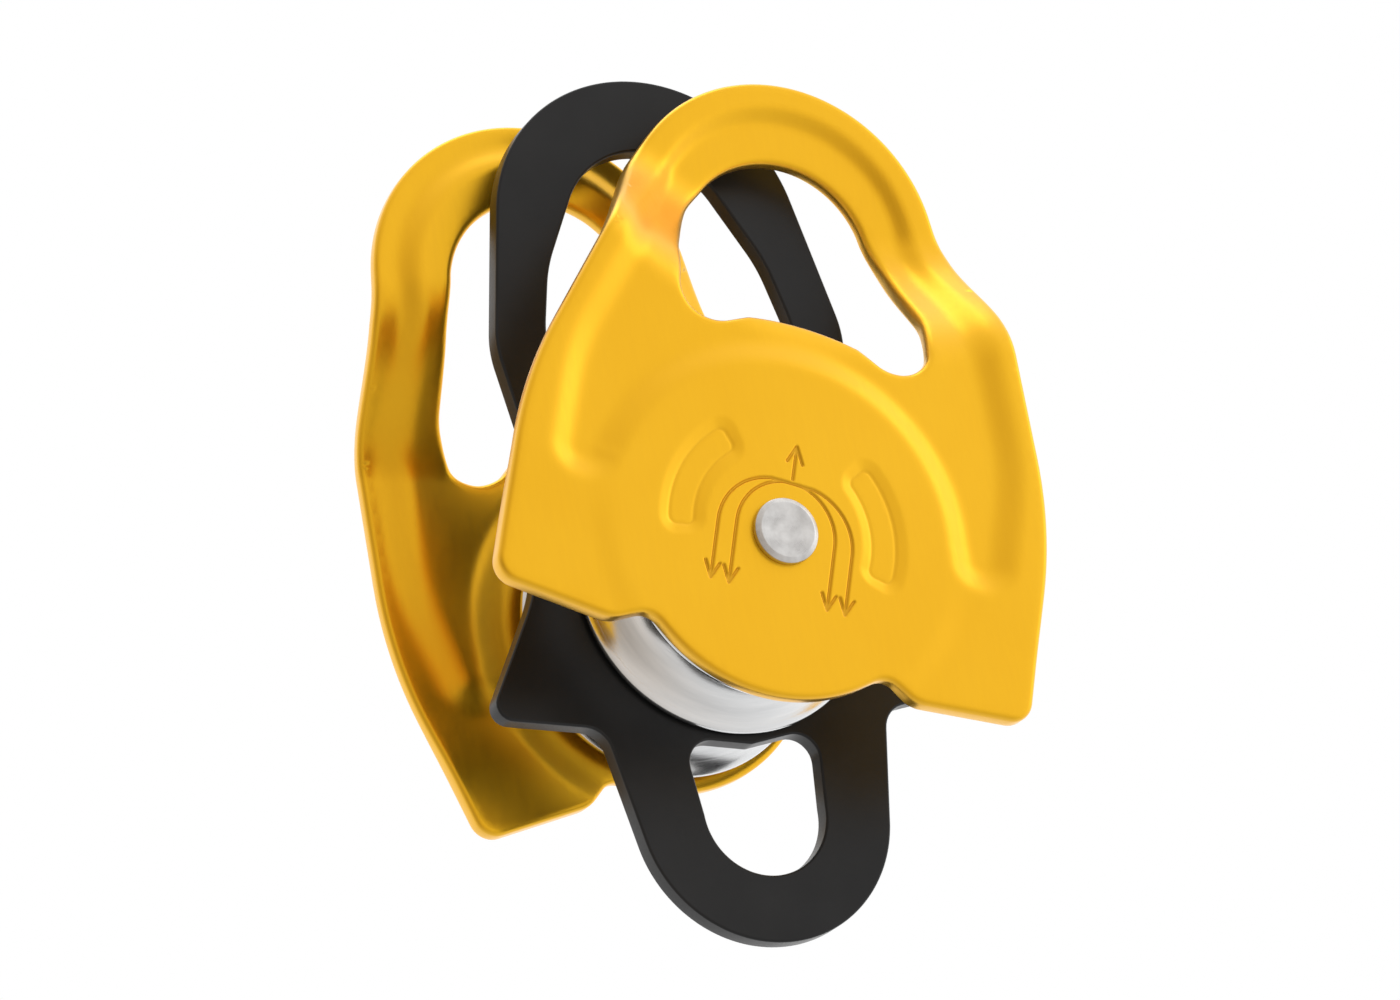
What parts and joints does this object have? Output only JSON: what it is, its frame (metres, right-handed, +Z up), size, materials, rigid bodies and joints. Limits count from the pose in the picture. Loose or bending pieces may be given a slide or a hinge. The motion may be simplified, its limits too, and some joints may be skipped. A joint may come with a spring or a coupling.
{
  "type": "rope pulley",
  "caption": "Twin rope pulley with swinging gold side plates, ball-bearing sheaves on one riveted axle, and a black centre plate with a carabiner eye and a becket.",
  "frame": {"origin": "on the axle, at the middle of the centre plate's thickness", "axes": "+Z up the centre plate towards the carabiner eye, +Y along the axle towards the back side plate, +X to the right seen from the front"},
  "size_m": [0.0972, 0.056, 0.1467],
  "materials": {
    "gold_plate": "gold anodised, satin",
    "black_plate": "black anodised, satin",
    "sheave_metal": "machined, bright",
    "axle_steel": "brushed, riveted",
    "bearing_steel": "ground and polished",
    "spacer_steel": "turned",
    "washer_plastic": "moulded acetal",
    "cage_plastic": "moulded polyamide",
    "seal_rubber": "moulded, matte"
  },
  "bodies": {
    "centre": {"centre_plate": "black_plate", "axle": "axle_steel", "front_thrust_washer": "washer_plastic", "back_thrust_washer": "washer_plastic", "front_outer_spacer": "spacer_steel", "back_outer_spacer": "spacer_steel", "front_inner_spacer": "spacer_steel", "back_inner_spacer": "spacer_steel", "front_bearing_inner_ring": "bearing_steel", "back_bearing_inner_ring": "bearing_steel"},
    "front_side": {"front_side_plate": "gold_plate"},
    "back_side": {"back_side_plate": "gold_plate"},
    "front_wheel": {"front_sheave": "sheave_metal", "front_bearing_outer_ring": "bearing_steel", "front_bearing_inner_seal": "seal_rubber", "front_bearing_outer_seal": "seal_rubber"},
    "back_wheel": {"back_sheave": "sheave_metal", "back_bearing_outer_ring": "bearing_steel", "back_bearing_inner_seal": "seal_rubber", "back_bearing_outer_seal": "seal_rubber"},
    "front_ball_set": {"front_bearing_balls": "bearing_steel", "front_bearing_cage": "cage_plastic"},
    "back_ball_set": {"back_bearing_balls": "bearing_steel", "back_bearing_cage": "cage_plastic"}
  },
  "joints": [
    {"name": "front_plate_swing", "type": "hinge", "parent": "centre", "child": "front_side", "pos_m": [0, 0, 0], "axis": [0, 1, 0], "continuous": true},
    {"name": "back_plate_swing", "type": "hinge", "parent": "centre", "child": "back_side", "pos_m": [0, 0, 0], "axis": [0, 1, 0], "continuous": true},
    {"name": "front_sheave_spin", "type": "hinge", "parent": "centre", "child": "front_wheel", "pos_m": [0, 0, 0], "axis": [0, 1, 0], "continuous": true},
    {"name": "back_sheave_spin", "type": "hinge", "parent": "centre", "child": "back_wheel", "pos_m": [0, 0, 0], "axis": [0, 1, 0], "continuous": true},
    {"name": "front_balls_orbit", "type": "hinge", "parent": "centre", "child": "front_ball_set", "pos_m": [0, 0, 0], "axis": [0, 1, 0], "continuous": true},
    {"name": "back_balls_orbit", "type": "hinge", "parent": "centre", "child": "back_ball_set", "pos_m": [0, 0, 0], "axis": [0, 1, 0], "continuous": true}
  ],
  "couplings": [
    {"joint": "front_balls_orbit", "follows": "front_sheave_spin", "ratio": 0.632},
    {"joint": "back_balls_orbit", "follows": "back_sheave_spin", "ratio": 0.632}
  ]
}
